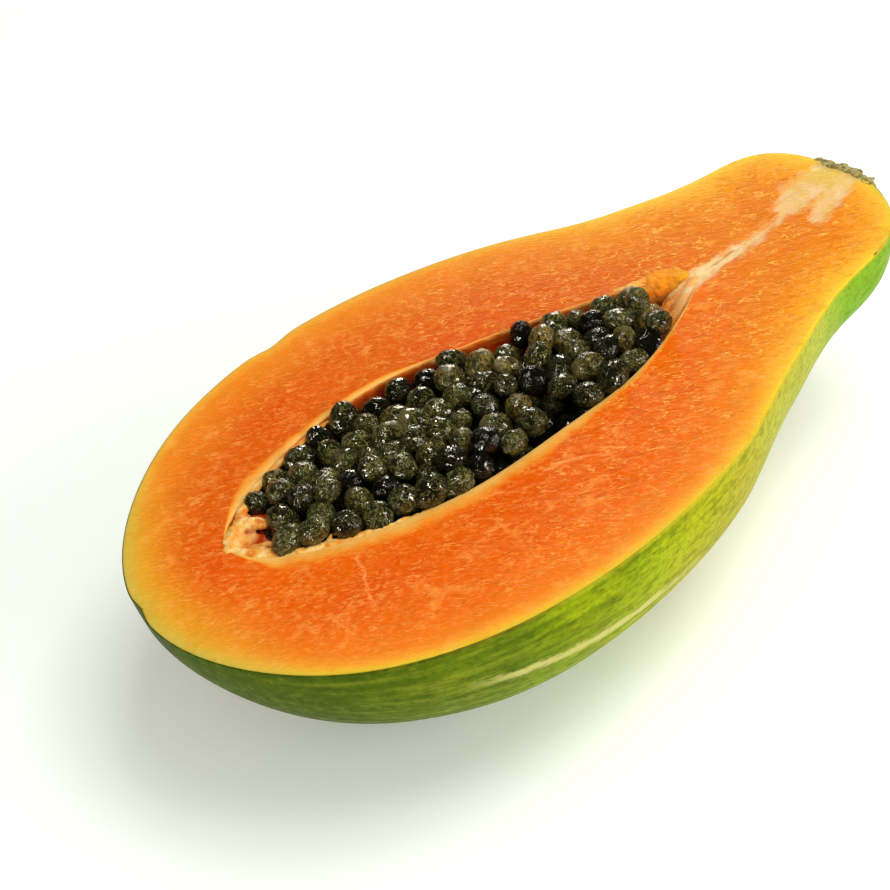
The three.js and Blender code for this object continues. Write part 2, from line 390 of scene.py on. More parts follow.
def fleshShape():
    form = fleshForm
    middle, around = np.array(form["middle"]), form["around"]
    outer = closedLine(fruitForm, axisOffset)
    outer[:, 0] = slanted(dimpled(outer[:, 0], outer[:, 1], 0), outer[:, 1])
    outer = movedIn(outer, dent(outer[:, 0], outer[:, 1], 0))
    inner = movedIn(outer, 0.6 * fruitForm["skinThickness"])
    rim = closedLine(hollowForm, hollowMiddle)
    step = np.hypot(*(np.roll(outer, -1, 0) - outer).T)
    run = np.concatenate([[0], np.cumsum(step)])
    even = np.interp(np.linspace(0, run[-1], around, endpoint=False), run[:-1],
                     np.unwrap(np.arctan2(*(outer - middle).T[::-1])))
    angles = np.sort(np.mod(even, 2 * math.pi))
    ahead = np.c_[np.cos(angles), np.sin(angles)]
    rimReach, innerReach, outerReach = (reachAt(o, angles) for o in (rim, inner, outer))

    # cut face, with closer rings near both edges
    s = np.linspace(0, 1, form["faceRings"])
    share = s - form["ringBunching"] * np.sin(2 * math.pi * s) / (2 * math.pi)
    reach = rimReach[None] + (innerReach - rimReach)[None] * share[:, None]
    face = (middle + reach[..., None] * ahead[None]).reshape(-1, 2)
    rimFar, skinFar = nearest(face, rim[::2]), nearest(face, outer[::2])
    rimFar[:around] = 0
    flat = np.c_[face, np.zeros(len(face))]
    x, y = face.T
    near = y < hollowMiddle(x)
    bands = form["nearBand"], form["farBand"]
    fade = np.where(near, *(smoothStep(x, *band["begins"]) * (1 - smoothStep(x, *band["ends"]))
                            for band in bands))
    width, drop = (np.where(near, *(band[key] for band in bands)) for key in ("width", "drop"))
    (less, *nearFade), (more, *farFade) = (band["change"] for band in bands)
    width = np.where(near, width * (1 - less * smoothStep(x, *nearFade)),
                     width + more * (1 - smoothStep(x, *farFade)))
    band = rimFar / (0.4 + width * fade * (1 + waves(flat, *form["bandWaves"])))
    z = -drop * fade * np.clip(1 - 1.6 * band, 0, 1) ** 1.5
    z -= form["edgeDrop"] * np.clip(1 - skinFar / form["edgeRound"], 0, 1) ** 2
    soft = smoothStep(rimFar, 0, 4) * smoothStep(skinFar, 0, 4)
    z += form["waveHeight"] * soft * waves(flat, *form["faceWaves"])
    pale = paleDistance(face)
    z -= form["coreDrop"] * (1 - smoothStep(pale, -1.6, 1)) * smoothStep(skinFar, 0, 3)

    # lining of the hollow
    lift = np.linspace(0, math.pi / 2, form["hollowRings"] + 1)[1:-1]
    lining = (middle + (np.sin(lift)[:, None] * rimReach)[..., None] * ahead).reshape(-1, 2)
    side = lining[:, 1] - hollowMiddle(lining[:, 0])
    room = halfWidth(lining[:, 0], hollowForm) ** 2 - side ** 2
    depth = hollowForm["roundness"] * np.sqrt(np.clip(room, 0, None))
    below = np.tile(-z[:around], len(lift))
    inside = np.c_[lining, -depth - below * np.exp(-depth / 2)]
    outward = np.c_[np.zeros(len(lining)), side, -depth]
    outward /= np.maximum(np.linalg.norm(outward, axis=1), 1)[:, None]
    rough = waves(inside, *form["liningWaves"]) * form["liningRoughness"]
    inside += outward * (rough * smoothStep(depth, 0, 4))[:, None]
    bottom = [*middle, -hollowForm["roundness"] * halfWidth(middle[0], hollowForm)]

    # under the skin
    lift = np.linspace(0, math.pi / 2, form["bellyRings"] + 1)[1:-1]
    under, wide = ((middle + (np.cos(lift)[:, None] * r)[..., None] * ahead).reshape(-1, 2)
                   for r in (innerReach, outerReach))
    room = halfWidth(wide[:, 0]) ** 2 - (wide[:, 1] - axisOffset(wide[:, 0])) ** 2
    depth = form["bellyShare"] * roundness(wide[:, 0]) * np.sqrt(np.clip(room, 0, None))
    lowest = cutHeight - fruitForm["skinThickness"]
    belly = np.c_[under, -np.minimum(depth, lowest)]

    points = np.concatenate([[bottom], inside, np.c_[face, z], belly, [[*middle, -lowest]]])
    here, beside = np.arange(around), (np.arange(around) + 1) % around
    last = len(points) - 1 - around
    faces = []
    for ring in range(1, last, around):  # quads between each ring of points and the next
        after = ring + around
        faces += np.c_[ring + here, after + here, after + beside, ring + beside].tolist()
    faces += np.c_[np.zeros(around, int), 1 + here, 1 + beside].tolist()
    faces += np.c_[np.full(around, len(points) - 1), last + beside, last + here].tolist()

    red = np.max([np.exp(-((x - cx) / rx) ** 2 - ((y - cy) / ry) ** 2)
                  for cx, cy, rx, ry in redZones], axis=0)
    veins = np.stack([linePlaces(line, face)[0] for line in veinLines], 1)
    start, end = 1 + len(inside), 1 + len(belly)
    known = {  # values on the cut face, and one for the hollow and one for the rest
        "rimDistance": (rimFar, 0, 30), "skinDistance": (skinFar, 30, 0),
        "bandShare": (band, 9, 9), "paleDistance": (pale, 20, 20), "redness": (red, 0, 0),
        "farSide": (smoothStep(y, -6, 14), 0, 0)}
    numbers = {name: np.concatenate([np.full(start, a), values, np.full(end, b)])
               for name, (values, a, b) in known.items()}
    numbers["rimDistance"][:start] = np.concatenate([[-25], inside[:, 2]])
    numbers["veinDistance"] = np.pad(veins, ((start, end), (0, 0)), constant_values=20)
    return points, faces, numbers


fleshLook = {
    "nearSkin": [(0, "#b8a228"), (.035, "#e3b62e"), (.08, "#f1a82e"), (.14, "#f19228"),
                 (.26, "#ee761a"), (.55, "#eb660e"), (1, "#e86004")],
    # The far-side tones are duller than the near ones: partly the flesh's own colour, partly
    # painted sheen and shade.
    "farSkin": [(0, "#cba038"), (.05, "#e9a83a"), (.1, "#ef9c2e"), (.2, "#ee8420"),
                (.4, "#ec7818"), (.7, "#e26812"), (1, "#de6010")],
    "atNeck": [(0, "#efca36"), (.1, "#f3b92e"), (.2, "#f2a822"), (.35, "#ef9616"),
               (.54, "#e98404"), (1, "#e27200")],
    "atBlossom": [(0, "#c4b04e"), (.1, "#d3ac3a"), (.18, "#dfa12c"), (.34, "#e4961e"),
                  (.6, "#e68c24"), (1, "#e27c16")],
    "nearHollow": "#e75e02", "farHollow": "#dc5a05", "red": "#dc4802", "deep": "#cf4a04",
    "deepYellow": "#dd9020", "deepNeck": "#d86c06", "fleckAndGlintNeck": "#fcb446", "puff": "#f68a34",
    "band": [(0, "#e8b060"), (.2, "#f0b45c"), (.45, "#ef9f40"), (.75, "#ec8420"), (1, "#ea6a0a")],
    "core": "#eccb90", "coreTint": "#dcc064", "coreWhite": "#f8e2b8", "coreLine": "#9a6a30",
    "coreTan": "#b86e26", "coreEnd": "#ac8c4c", "vein": "#fb9a52", "fleckAndGlint": "#fbae50",
    # the lining darkens with depth to near black: painted shade in the hollow
    "lining": [(0, "#300802"), (.5, "#8c2404"), (.78, "#bc3c0a"), (.92, "#d66218"), (1, "#eeb465")],
    "endWall": "#d87828",
    "cellSize": 0.6,  # torn cells, mm
    "dashSize": 1.3,  # short wavy fibres, mm
}


# Ripe papaya flesh, cut with a knife: wet and slightly see-through, orange-red inside and yellow
# under the skin, with torn cells that glint as short wavy dashes. Those glints are partly painted
# highlights in the colour, beside the bump, and the dashes' dark sides are painted shade.
def makeFleshMaterial():
    look = fleshLook
    add, finish, grow = startMaterial("wetPapayaFlesh")
    lay, fibres = (add("Mapping", {
        "Vector": grow, "Rotation": (0, 0, math.radians(turn)), "Scale": stretch},
        vector_type="TEXTURE") for turn, stretch in ((-28, (3.2, 1, 1.2)), (8, (9, 1, 3))))
    skinFar, rimFar, bandShare, paleFar, redness, farSide = (
        add("Attribute", attribute_name=name).outputs["Fac"] for name in (
            "skinDistance", "rimDistance", "bandShare", "paleDistance", "redness", "farSide"))
    along = add("SeparateXYZ", [grow]).outputs["X"]
    broad, patch, group, puffs, cells, dash, streaks, bends = (add("TexNoise", row) for row in (
        (grow, 1 / 16, 2, 0.55), (grow, 1 / 4.5, 3, 0.55), (grow, 1 / 3, 1, 0.55),
        (grow, 1 / 1.7, 2, 0.55), (lay, 1 / look["cellSize"], 2, 0.5, 2, 0.8),
        (lay, 1 / look["dashSize"], 2, 0.5, 2, 0.9), (fibres, 1.1, 3, 0.6), (grow, 0.35)))
    spread, ragged, uneven, feather, soft, sway = (
        add("MapRange", [pattern, 0.3, 0.7, -most, most]) for pattern, most in (
            (broad, 1.3), (patch, 1.0), (patch, 0.12), (streaks, 0.7), (patch, 1.1),
            (bends, 0.6)))

    # the colour of plain flesh, by how far the skin is
    skinShare = add("MapRange", [skinFar, 0, 20])
    drift = add("Math", [skinShare, spread])
    skinShare = add("Math MULTIPLY_ADD", [drift, 0.12, skinShare])
    # the far-side ramp is partly painted sheen and shade
    near, far, neck, blossom = (add("ValToRGB", [skinShare], stops=look[name])
                                for name in ("nearSkin", "farSkin", "atNeck", "atBlossom"))
    toNeck = add("MapRange", [along, 6, 68], **smooth)
    colour = layTones(add, near, [(far, farSide), (neck, toNeck),
                                  (blossom, (along, -74, -98, smooth))])

    # the pale core, from the hollow to the stem
    pale = add("Math ADD", [paleFar, feather])
    pale = add("Math ADD", [pale, soft])
    blotch = add("MapRange", [patch, 0.36, 0.66], **smooth)
    tinted = add("Math", [add("MapRange", [along, 78, 97, 0.1, 1.7]), blotch], use_clamp=True)
    coreTone = layTones(add, look["core"], [
        (look["coreWhite"], (group, 0.44, 0.64, 0, 0.5)), (look["coreTint"], tinted),
        (look["coreTan"], (along, 51, 37, 0, 0.9, smooth)),
        (look["coreEnd"], (skinFar, 4, 0.5, 0, 0.8, smooth)),
        (look["coreLine"], (streaks, 0.55, 0.62, 0, 0.65, smooth), (along, 62, 80, 1, 0.15))])

    # the walls of the hollow, darker deeper in: painted shade, down to near black at the bottom
    rimRough = add("Math ADD", [rimFar, ragged])
    depth = add("MapRange", [rimRough, -12, 0])
    inside = layTones(add, add("ValToRGB", [depth], stops=look["lining"]), [
        (look["endWall"], (along, 30, 40, smooth))])

    # tones of the cut face and where they go
    # the far hollow's darker red is partly painted shade
    redTone = add("Mix", [farSide, look["nearHollow"], look["farHollow"]])
    deepTone = add("Mix", [skinShare, look["deepYellow"], look["deep"]])
    deepTone = add("Mix", [toNeck, deepTone, look["deepNeck"]])
    # pale flecks, and painted highlights: this tone also paints glints on dash crests and cell
    # specks
    fleckAndGlint = add("Mix", [toNeck, look["fleckAndGlint"], look["fleckAndGlintNeck"]])
    band = add("Math ADD", [bandShare, uneven])
    bandTone = add("ValToRGB", [band], stops=look["band"])
    body = product(add, (along, 40, 0), (patch, 0.44, 0.58, 0.15, 1), (skinFar, 3, 14))
    inner = add("MapRange", [skinFar, 1, 9, 0.15, 1])
    amount = product(add, (group, 0.4, 0.6, 0.08, 0.62), inner, (along, -40, 50, 0.7, 1.55))
    ridge = add("Math SUBTRACT", [dash, 0.5])
    ridge = add("Math ABSOLUTE", [ridge])
    crest = product(add, (ridge, 0.035, 0.008, smooth), amount)
    veins = add("Attribute", attribute_name="veinDistance").outputs["Vector"]
    veins = (add("Math ADD", [off, sway]) for off in add("SeparateXYZ", [veins]).outputs)
    broken = add("MapRange", [patch, 0.38, 0.58, 0.1, 0.65])
    colour = layTones(add, colour, [
        (redTone, (rimRough, 19, 6, smooth), (along, 60, 10, 0.3, 0.95)),
        (look["red"], (patch, 0.35, 0.6, 0.3, 0.9), redness),
        (deepTone, (patch, 0.46, 0.32, 0, 0.3, smooth)),
        (fleckAndGlint, (patch, 0.54, 0.74, 0, 0.35, smooth)),
        (look["puff"], (puffs, 0.52, 0.66, 0, 0.5, smooth), body),
        (deepTone, (puffs, 0.46, 0.36, 0, 0.4, smooth), body),
        # painted shade: the darker troughs of the dashes and torn cells; the pale cell specks are
        # painted glints
        (deepTone, (dash, 0.48, 0.36, 0, 0.9), amount),
        (deepTone, (cells, 0.46, 0.3, 0, 0.3), inner), (fleckAndGlint, (cells, 0.54, 0.72, 0, 0.3)),
        *((look["vein"], (add("Math ABSOLUTE", [off]), 0.6, 0.1, smooth), broken) for off in veins),
        # painted highlight along the crests of the wavy dashes
        (bandTone, (band, 1.15, 0.6, smooth)), (fleckAndGlint, crest),
        (coreTone, (pale, 1.5, -1.7, smooth), (along, 52, 82, 0.95, 0.7)),
        (inside, (rimFar, 0, -0.5))])

    height = add("Math MULTIPLY_ADD", [crest, 0.5, cells])
    bump = add("Bump", {"Height": height, "Strength": 0.5, "Distance": 0.0005})
    gloss = add("MapRange", [cells, 0.35, 0.65, 0.25, 0.4])
    return finish({
        "Base Color": colour, "Normal": bump, "Coat Normal": bump, "Roughness": gloss, "IOR": 1.38,
        "Specular IOR Level": 0.03, "Subsurface Weight": 0.2, "Subsurface Radius": (1, 0.32, 0.1),
        "Subsurface Scale": 0.0014, "Coat Weight": 0.01, "Coat Roughness": 0.1})


fleshMaterial = makeFleshMaterial()
points, faces, numbers = fleshShape()
flesh = makePiece("flesh", points, faces, fleshMaterial, numbers)
print("flesh made,", len(faces), "faces")

# The skin is a thin closed shell round the flesh.
skinForm = {
    "along": 300, "around": 116,
    "unevenness": 0.35, "waves": (30, 7, 1), "unevenBelow": (2, 14),
    "outerEdge": -0.34, "innerEdge": -0.22,  # height of the shell's rim beside the cut face
    "edgeShare": 0.4,  # how much of the cut edge's tone the outside has there
}
skinLook = {
    "nearSide": [(0, "#4e600a"), (.14, "#506408"), (.26, "#66780c"), (.36, "#889a0a"),
                 (.46, "#a6b00c"), (.56, "#b0ac12"), (.66, "#b2a62a"), (.8, "#aeb03c"),
                 (.89, "#7aa81c"), (1, "#82a028")],
    "farSide": [(0, "#9a8c20"), (.3, "#c0961a"), (.6, "#d2ac20"), (.8, "#ccc03c"), (1, "#98a83c")],
    "ripe": [(0, "#96701a"), (.35, "#b87c18"), (.65, "#c8871c"), (1, "#c09a2a")],
    "cutEdge": [(.1, "#5a6416"), (.24, "#84641c"), (.4, "#988a22"), (.54, "#c0ac2c"),
                (.72, "#dcb032")],
    "farEdge": "#e0b436", "dark": "#3b4c0a", "light": "#a8a82e", "speck": "#24400f",
    "streak": "#d2c678",
    "streakAt": 163.5,  # degrees round the long axis
    "pit": "#46560f",
    "mottleSize": 1.9, "speckSize": 5.5, "poreSize": 0.7,
}


def skinShape():
    form = skinForm
    t, a = (np.linspace(0, math.pi, form[way] + 1) for way in ("along", "around"))
    rows, columns = len(t), len(a)
    x = np.repeat(fruitForm["length"] * (1 - np.cos(t)) / 2, columns).reshape(rows, columns)
    wide, turn = halfWidth(x), np.tile(a, (rows, 1))
    y, z = axisOffset(x) + wide * np.cos(turn), -roundness(x) * wide * np.sin(turn)
    y = y - dent(x, y, z)
    x = slanted(dimpled(x, y, z), y)
    outer = np.stack([x, y, z], 2)
    normal = np.cross(np.gradient(outer, axis=0), np.gradient(outer, axis=1))
    normal /= np.maximum(np.linalg.norm(normal, axis=2, keepdims=True), 1e-7)
    normal *= -np.sign(normal[rows // 2, columns // 2, 2])
    normal[0], normal[-1] = (-1, 0, 0), (1, 0, 0)
    low = waves(outer.reshape(-1, 3), form["waves"]).reshape(rows, columns, 1)
    fade = smoothStep(-z, *form["unevenBelow"])[..., None]
    outer = outer + normal * low * form["unevenness"] * fade
    outer[..., 2] = np.maximum(outer[..., 2], -cutHeight)
    inner = outer - normal * fruitForm["skinThickness"]
    inner[..., 2] = np.minimum(inner[..., 2], 0)
    inner[:, [0, -1], 2] = form["innerEdge"]
    inner[0], inner[-1] = inner[0, columns // 2], inner[-1, columns // 2]
    inner[[0, -1], :, 2] = 0
    outer[:, [0, -1], 2] = form["outerEdge"]
    edge = np.zeros((rows, columns))
    edge[:, [0, -1]] = form["edgeShare"]

    total = rows * columns
    spot = np.arange(total).reshape(rows, columns)
    quads = np.stack([spot[:-1, :-1], spot[:-1, 1:], spot[1:, 1:], spot[1:, :-1]], 2)
    quads = quads.reshape(-1, 4)
    faces = quads.tolist() + (quads[:, ::-1] + total).tolist()
    for column, way in ((0, 1), (columns - 1, -1)):
        line = spot[:, column]
        strip = np.c_[line[:-1], line[1:], line[1:] + total, line[:-1] + total]
        faces += strip[:, ::way].tolist()
    # the angle round the long axis, eased where all its lines meet at the ends
    eased = np.degrees(np.arccos(wide * np.cos(turn) / np.maximum(wide[rows // 8], wide)))
    numbers = {"around": np.tile(eased.ravel(), 2), "along": np.tile(outer[..., 0].ravel(), 2),
               "cutEdge": np.concatenate([edge.ravel(), np.ones(total)])}
    return np.concatenate([outer.reshape(-1, 3), inner.reshape(-1, 3)]), faces, numbers


# Waxy papaya skin: green near the blossom end, turning yellow along the side, with olive mottling,
# and golden with dark green specks on the side that ripened first.
def makeSkinMaterial():
    look = skinLook
    add, finish, grow = startMaterial("waxyPapayaSkin")
    around, along, cut = (add("Attribute", attribute_name=name).outputs["Fac"]
                          for name in ("around", "along", "cutEdge"))
    unrolled = add("CombineXYZ", [along, around])
    long, ribbed = (add("Mapping", {"Vector": place, "Scale": stretch}, vector_type="TEXTURE")
                    for place, stretch in ((grow, (2.6, 1, 1)), (unrolled, (30, 2.6, 1))))
    broad, patch, grain, crowd, ribs, pores = (add("TexNoise", row) for row in (
        (grow, 1 / 22, 3), (long, 1 / look["mottleSize"], 6, 0.68, 2, 0.3), (grow, 0.8, 3, 0.6),
        (grow, 1 / 15), (ribbed, 1, 4), (grow, 1 / look["poreSize"])))
    cells = add("TexVoronoi", {"Vector": grow, "Scale": 1 / look["speckSize"]})
    shift = add("MapRange", [broad, 0.3, 0.7, -12, 12])
    length, turn = (add("Math ADD", [place, shift]) for place in (along, around))
    length = add("Math", [length, 0.005])
    near, far, ripe, edgeTone = (add("ValToRGB", [length], stops=look[name])
                                 for name in ("nearSide", "farSide", "ripe", "cutEdge"))
    toFar = add("MapRange", [turn, 60, 20], **smooth)
    edgeTone = layTones(add, edgeTone, [(look["farEdge"], (along, 15, 45, smooth), toFar)])
    climb = add("MapRange", [along, 52, 108, 0, 9])
    wander = add("MapRange", [patch, 0.3, 0.7, -1.6, 1.6])
    off = around  # from the pale streak along the side
    for operation, amount in (("ADD", climb), ("ADD", wander), ("SUBTRACT", look["streakAt"]),
                              ("ABSOLUTE", 0)):
        off = add("Math " + operation, [off, amount])
    ribbed = product(add, (along, 130, 100), (along, 8, 28, smooth))
    colour = layTones(add, ripe, [
        (far, toFar), (near, (turn, 68, 104, smooth)),
        (look["light"], (ribs, 0.5, 0.66, 0, 0.32), ribbed),
        (look["dark"], (ribs, 0.5, 0.36, 0, 0.42), ribbed),
        (look["dark"], (patch, 0.48, 0.66, 0, 0.5, smooth), (along, 110, 160, 1, 0.4)),
        (look["light"], (patch, 0.48, 0.32, 0, 0.2, smooth)),
        (look["speck"], (cells.outputs["Distance"], 0.34, 0.16, smooth),
         (crowd, 0.46, 0.6, smooth), (turn, 110, 150, 0.85, 0.08)),
        (look["dark"], (grain, 0.46, 0.7, 0, 0.4)),
        (look["streak"], (off, 2.6, 0.6, smooth), (along, 48, 60, 0, 0.8), (along, 112, 96)),
        (look["pit"], (along, 3, 1.6, 0, 0.8)), (edgeTone, (cut, 0, 0.6, 0, 0.75)),
        (look["dark"], (cut, 0.02, 0.3, smooth), (patch, 0.4, 0.56, 0.1, 0.9),
         (along, 80, 40))])
    height = add("Math MULTIPLY_ADD", [patch, 2, pores])
    bump = add("Bump", {"Height": height, "Strength": 0.25, "Distance": 0.0003})
    gloss = add("MapRange", [patch, 0.3, 0.7, 0.32, 0.5])
    return finish({
        "Base Color": colour, "Normal": bump, "Roughness": gloss, "IOR": 1.45,
        "Specular IOR Level": 0.02, "Coat Weight": 0})


points, faces, numbers = skinShape()
skin = makePiece("skin", points, faces, makeSkinMaterial(), numbers)
weld = bmesh.new()  # the shell's ends are closed where its lines meet
weld.from_mesh(skin.data)
bmesh.ops.remove_doubles(weld, verts=weld.verts, dist=2e-6)
bmesh.ops.dissolve_degenerate(weld, edges=weld.edges, dist=1e-7)
weld.to_mesh(skin.data)
weld.free()
print("skin made,", len(skin.data.polygons), "faces")

# Seeds lie in two layers in the hollow, the upper one as a mound that slopes to the near side.
seedForm = {
    "count": 86, "lowerCount": 68, "draw": 20, "lowerDraw": 57, "lowerDrop": 5.4,
    "start": 35.5, "end": 134.5, "level": -1.6, "mound": 2.2, "unevenness": 1.3,
    "slope": 1.6, "slopeFade": (80, 110),
    "girth": [(1.08, 0.3), (0.98, 0.1), (0.88, 0.1)],  # least, and how much more, each way
    "radius": 3.2, "sizeSpread": 0.32, "wrinkleDepth": 1.7, "wrinkleSize": 1.7,
    # how they settle: distance apart, distance from the walls, and the steps and their strength
    "spacing": 6.1, "gap": 0.4, "rounds": 120, "spread": 0.5, "push": 0.3, "pull": 0.15,
}


def randomSource(state):  # the same evenly spread numbers from 0 to 1 on every run
    while True:
        state = (state * 1664525 + 1013904223) % 4294967296
        yield state / 4294967296


def seedBed(x, y, drop):
    form = seedForm
    across = (y - hollowMiddle(x)) / halfWidth(x, hollowForm)
    slope = form["slope"] * (1 - smoothStep(x, *form["slopeFade"]))
    return form["level"] - drop + form["mound"] * (1 - across * across) - slope * across


def keptInHollow(places):
    clear = seedForm["radius"] + seedForm["gap"]
    x = np.clip(places[:, 0], seedForm["start"], seedForm["end"])
    side, z = places[:, 1] - hollowMiddle(x), places[:, 2]
    wide = halfWidth(x, hollowForm)
    below = np.minimum(z, 0) / (wide * hollowForm["roundness"] - clear)
    past = np.maximum(1, np.hypot(side / (wide - clear), below))
    return np.stack([x, hollowMiddle(x) + side / past, np.where(z < 0, z / past, z)], 1)


# Seeds dropped at random over the hollow push each other apart until they lie evenly.
def settledSeeds(random, count, drop):
    form, places, sunk = seedForm, [], []
    while len(places) < count:
        x = form["start"] + (form["end"] - form["start"]) * next(random)
        side = (2 * next(random) - 1) * max(hollowForm["fullness"])
        if abs(side) < halfWidth(x, hollowForm) - form["radius"]:
            sunk.append((2 * next(random) - 1) * form["unevenness"])
            places.append((x, hollowMiddle(x) + side, 0))
    places, sunk = np.array(places, float), np.array(sunk)
    for turn in range(form["rounds"]):
        wider = max(0, 1 - 2 * turn / form["rounds"])
        reach = form["spacing"] * (1 + form["spread"] * wider)
        apart = places[:, None] - places[None]
        far = np.linalg.norm(apart, axis=2)
        near = (far > 0) & (far < reach)
        push = np.where(near, form["push"] * (reach / np.where(near, far, 1) - 1), 0)
        bed = seedBed(places[:, 0], places[:, 1], drop) - sunk - places[:, 2]
        places = places + (apart * push[..., None]).sum(1)
        places[:, 2] += form["pull"] * bed
        places = keptInHollow(places)
    return places


# A tree that puts a ball on every point, turned and sized by the point's own values, and then
# creases each one differently.
def seedTree():
    tree = bpy.data.node_groups.new("creasedSeeds", "GeometryNodeTree")
    add = partial(addNode, tree)
    for name, kind, way in (("Geometry", "Geometry", "INPUT"), ("radius", "Float", "INPUT"),
                            ("detail", "Int", "INPUT"), ("creaseDepth", "Float", "INPUT"),
                            ("creaseSize", "Float", "INPUT"), ("finish", "Material", "INPUT"),
                            ("Geometry", "Geometry", "OUTPUT")):
        tree.interface.new_socket(name, in_out=way, socket_type="NodeSocket" + kind)
    given = add("NodeGroupInput").outputs
    turn, girth, spot, number = (
        add("GeometryNodeInputNamedAttribute", [name], data_type=kind) for name, kind in (
            ("turn", "FLOAT_VECTOR"), ("girth", "FLOAT_VECTOR"), ("seedSpot", "FLOAT_VECTOR"),
            ("seedNumber", "FLOAT")))
    ball = add("GeometryNodeMeshIcoSphere", [given["radius"], given["detail"]])
    ball = add("GeometryNodeStoreNamedAttribute", {
        "Geometry": ball, "Name": "seedSpot", "Value": add("GeometryNodeInputPosition")},
        data_type="FLOAT_VECTOR")
    turned = add("FunctionNodeEulerToRotation", [turn])
    placed = add("GeometryNodeInstanceOnPoints", {
        "Points": given["Geometry"], "Instance": ball, "Rotation": turned, "Scale": girth})
    whole = add("GeometryNodeRealizeInstances", {"Geometry": placed})
    inMm = add("VectorMath SCALE", {"Vector": spot, "Scale": 1000})
    each = add("Math", [number, 40])
    scale = add("Math DIVIDE", [1, given["creaseSize"]])
    crease = add("TexNoise", (inMm, each, scale, 1.5, 0.5, 2, 0.6), noise_dimensions="4D")
    for operation, amount in (("SUBTRACT", 0.5), ("ABSOLUTE", 0), ("SUBTRACT", 0.1)):
        crease = add("Math " + operation, [crease, amount])
    deep = add("Math", [crease, given["creaseDepth"]])
    normal = add("GeometryNodeInputNormal")
    push = add("VectorMath SCALE", {"Vector": normal, "Scale": deep})
    moved = add("GeometryNodeSetPosition", {"Geometry": whole, "Offset": push})
    even = add("GeometryNodeSetShadeSmooth", {"Geometry": moved})
    done = add("GeometryNodeSetMaterial", {"Geometry": even, "Material": given["finish"]})
    add("NodeGroupOutput", [done])
    return tree


# Runs a tree on a base mesh and keeps the result as a plain mesh.
def grownPiece(name, base, tree, settings):
    growth = base.modifiers.new("growth", "NODES")
    growth.node_group = tree
    for socket in tree.interface.items_tree:
        if socket.in_out == "INPUT" and socket.name in settings:
            growth[socket.identifier] = settings[socket.name]
    seen = bpy.context.evaluated_depsgraph_get()
    mesh = bpy.data.meshes.new_from_object(base.evaluated_get(seen), depsgraph=seen,
                                           preserve_all_data_layers=True)
    base.modifiers.remove(growth)
    bpy.data.objects.remove(base)
    mesh.name = name
    return placeObject(name, mesh)


seedLook = {
    "kernel": "#070703", "shade": "#1e1c0b", "coat": "#383512", "jelly": "#968c4c",
    "cap": "#8a7c4c", "golden": "#84662a", "crease": "#070804",
    "ringSize": 1.4,  # creases of the coat, mm
    "pitSize": 0.5,
}


# Papaya seed in its jelly coat: a dark wrinkled kernel under an olive skin, with a thin clear
# wet layer that gives small sharp highlights.
def makeSeedMaterial():
    look = seedLook
    add, finish, _ = startMaterial("wetSeedCoat")
    number = add("Attribute", attribute_name="seedNumber").outputs["Fac"]
    spot = add("Attribute", attribute_name="seedSpot").outputs["Vector"]
    spot = add("Mapping", {"Vector": spot, "Scale": (1000, 1000, 1000)})
    each = add("MapRange", {"Value": number, "To Max": 60})
    body, veins, pits, film = (
        add("TexNoise", (spot, each, 1 / size, detail, 0.55, 2, twist), noise_dimensions="4D")
        for size, detail, twist in ((3, 1.5, 0.4), (look["ringSize"], 2, 1.6),
                                    (look["pitSize"], 2, 0.3), (2.4, 1, 0.6)))
    rings = add("Math", [veins, 24])
    rings = add("Math SINE", [rings])
    end = add("SeparateXYZ", [spot]).outputs["X"]
    colour = layTones(add, look["shade"], [
        (look["coat"], (body, 0.36, 0.62, smooth)),
        (look["jelly"], (rings, 0.2, 1, 0, 0.5, smooth)),
        (look["cap"], (end, 0.8, 2.8, smooth), (number, 0.5, 0.7, 0, 0.55)),
        (look["golden"], (number, 0.84, 0.96, 0, 0.8), (veins, 0.42, 0.58, smooth)),
        # dark lines in the wrinkles' troughs: painted shade in the creases, over the dark kernel
        (look["crease"], (rings, -0.3, -0.95, 0, 0.25, smooth)),
        (look["kernel"], (number, 0.42, 0.12, 0, 0.97))])
    height = add("Math MULTIPLY_ADD", [pits, 1.2, rings])
    bump = add("Bump", {"Height": height, "Strength": 0.6, "Distance": 0.0003})
    wet = add("Math MULTIPLY_ADD", [film, 6, rings])
    creased = add("MapRange", [body, 0.42, 0.62, 0.08, 0.36])
    wet = add("Bump", {"Height": wet, "Strength": creased, "Distance": 0.00025})
    return finish({
        "Base Color": colour, "Normal": bump, "Coat Normal": wet, "Roughness": 0.45,
        "Specular IOR Level": 0.03, "Coat Weight": 1, "Coat Roughness": 0.02, "Coat IOR": 1.5})


def seedPiece(name, places, random, detail, brightest, material):
    # five random numbers for each seed, and more that are mixed from them
    v = np.array([[next(random) for _ in range(5)] for _ in places])
    number = (v[:, 0] * 7.3 + v[:, 4] * 3.1) % 1 * brightest
    mesh = bpy.data.meshes.new(name + "Places")
    mesh.from_pydata(toPart(places).tolist(), [], [])
    girth = np.stack([least + more * v[:, i]
                      for i, (least, more) in enumerate(seedForm["girth"])], 1)
    girth *= 1 + seedForm["sizeSpread"] * ((v[:, 2:3] * 9.7 + v[:, 3:4] * 5.3) % 1 - 0.45)
    turn = np.stack([np.zeros(len(v)), (v[:, 3] - 0.5) * math.pi / 2, v[:, 4] * math.pi], 1)
    setNumbers(mesh, {"girth": girth, "turn": turn, "seedNumber": number})
    return grownPiece(name, placeObject(name + "Places", mesh), seedTree(), {
        "radius": seedForm["radius"] / 1000, "detail": detail, "finish": material,
        "creaseDepth": seedForm["wrinkleDepth"] / 1000, "creaseSize": seedForm["wrinkleSize"]})


